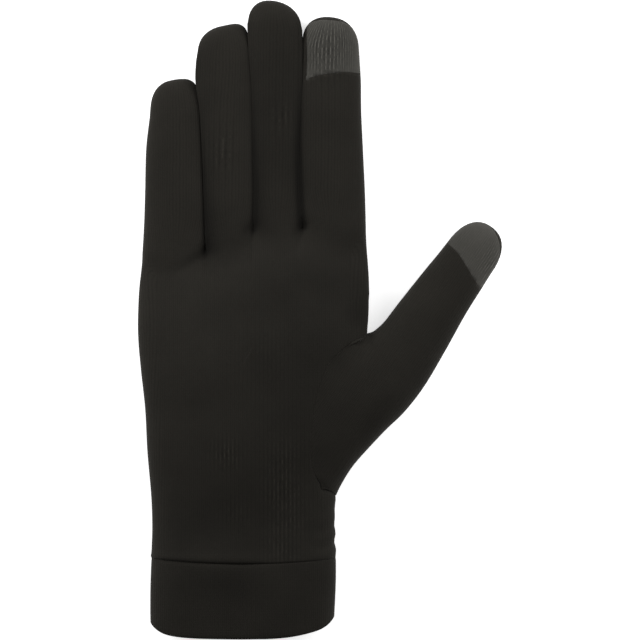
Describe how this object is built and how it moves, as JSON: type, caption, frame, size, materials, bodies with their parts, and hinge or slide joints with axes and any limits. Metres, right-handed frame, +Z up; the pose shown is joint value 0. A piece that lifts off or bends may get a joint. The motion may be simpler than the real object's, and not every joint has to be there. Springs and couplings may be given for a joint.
{
  "type": "glove liner",
  "caption": "Thin knitted liner for a right hand, lying palm up, with a set-in thumb, a folded hem at the wrist and touch patches on the thumb and index finger",
  "frame": {"origin": "middle of the bounding box's bottom face, on the surface that the glove lies on", "axes": "+X to the side that the thumb points to, +Y from the wrist to the fingertips, +Z up out of the palm"},
  "size_m": [0.1358, 0.24, 0.024],
  "materials": {
    "jersey": "fine black jersey knit, matt with a faint sheen at the edges",
    "touch_knit": "grey conductive knit, matt"
  },
  "bodies": {
    "root": {"hand_shell": "jersey", "thumb": "jersey", "cuff_hem": "jersey", "index_touch_patch": "touch_knit", "thumb_touch_patch": "touch_knit"}
  },
  "joints": []
}
